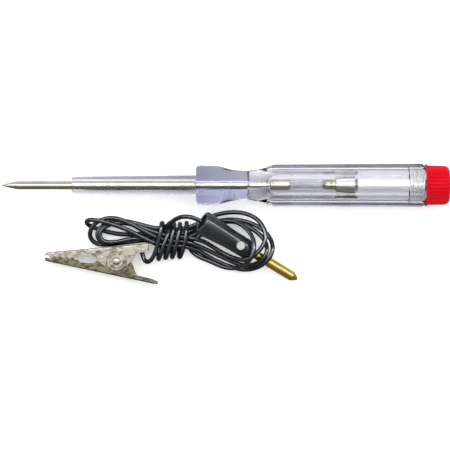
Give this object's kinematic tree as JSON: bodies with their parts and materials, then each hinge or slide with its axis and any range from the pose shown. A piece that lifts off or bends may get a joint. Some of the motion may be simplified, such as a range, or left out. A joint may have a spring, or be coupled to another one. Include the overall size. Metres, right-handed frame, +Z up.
{
  "type": "circuit test light",
  "caption": "Automotive test light: clear hexagonal handle with needle probe and lamp inside, screw-on ribbed rear cap, coiled lead with banana plug and crocodile clip.",
  "frame": {"origin": "centre of the mouth of the 4 mm lead socket, in the rear face of the red cap", "axes": "+X along the handle from the needle to the rear cap, +Z up from the surface the tester lies on"},
  "size_m": [0.1793, 0.0482, 0.0187],
  "materials": {
    "clear_handle": "clear, faintly lilac moulded acrylic",
    "clear_sleeve": "clear plastic tube",
    "probe_steel": "nickel-plated steel",
    "lamp_metal": "nickel-plated",
    "lamp_glass": "clear glass",
    "tungsten": "drawn wire",
    "contact_metal": "nickel-plated brass",
    "contact_dark": "dark oxidised metal",
    "spring_steel": "drawn wire",
    "socket_brass": "nickel-plated brass",
    "cap_red": "moulded, satin",
    "cable_black": "glossy PVC",
    "plug_black": "moulded, glossy",
    "plug_brass": "turned brass",
    "screw_steel": "zinc-plated",
    "clip_steel": "nickel-plated sheet",
    "copper": "tinned copper strands"
  },
  "bodies": {
    "handle": {"handle_body": "clear_handle", "probe_sleeve": "clear_sleeve", "probe_rod": "probe_steel", "lamp_front_cap": "lamp_metal", "lamp_glass": "lamp_glass", "lamp_rear_cap": "lamp_metal", "lamp_wires": "tungsten", "lamp_filament": "tungsten", "contact_plunger": "contact_metal", "contact_collar": "contact_dark"},
    "contact_spring": {"contact_spring": "spring_steel"},
    "cap": {"end_cap": "cap_red", "socket_tube": "socket_brass"},
    "lead": {"cable_jacket": "cable_black", "conductor_ends": "copper", "plug_pin": "plug_brass", "plug_sleeve": "plug_black", "plug_screw": "screw_steel", "clip_upper_jaw": "clip_steel", "clip_rivet": "clip_steel", "clip_spring": "spring_steel"},
    "clip_lower_jaw": {"clip_lower_jaw": "clip_steel"}
  },
  "joints": [
    {"name": "cap_travel", "type": "slide", "parent": "handle", "child": "contact_spring", "axis": [1, 0, 0], "range_m": [0, 0.006], "deforming": ["contact_spring"]},
    {"name": "cap_turn", "type": "hinge", "parent": "contact_spring", "child": "cap", "pos_m": [0, 0, 0], "axis": [1, 0, 0], "range_deg": [0, 2160]},
    {"name": "lead_lift", "type": "slide", "parent": "handle", "child": "lead", "axis": [0, 0, 1], "range_m": [0, 0.08]},
    {"name": "clip_open", "type": "hinge", "parent": "lead", "child": "clip_lower_jaw", "pos_m": [-0.13312, -0.0303, -0.0041], "axis": [0, 0, 1], "range_deg": [0, 24], "deforming": ["clip_spring"]}
  ],
  "couplings": [
    {"joint": "cap_turn", "follows": "cap_travel", "rad_per_m": 6283.2}
  ]
}
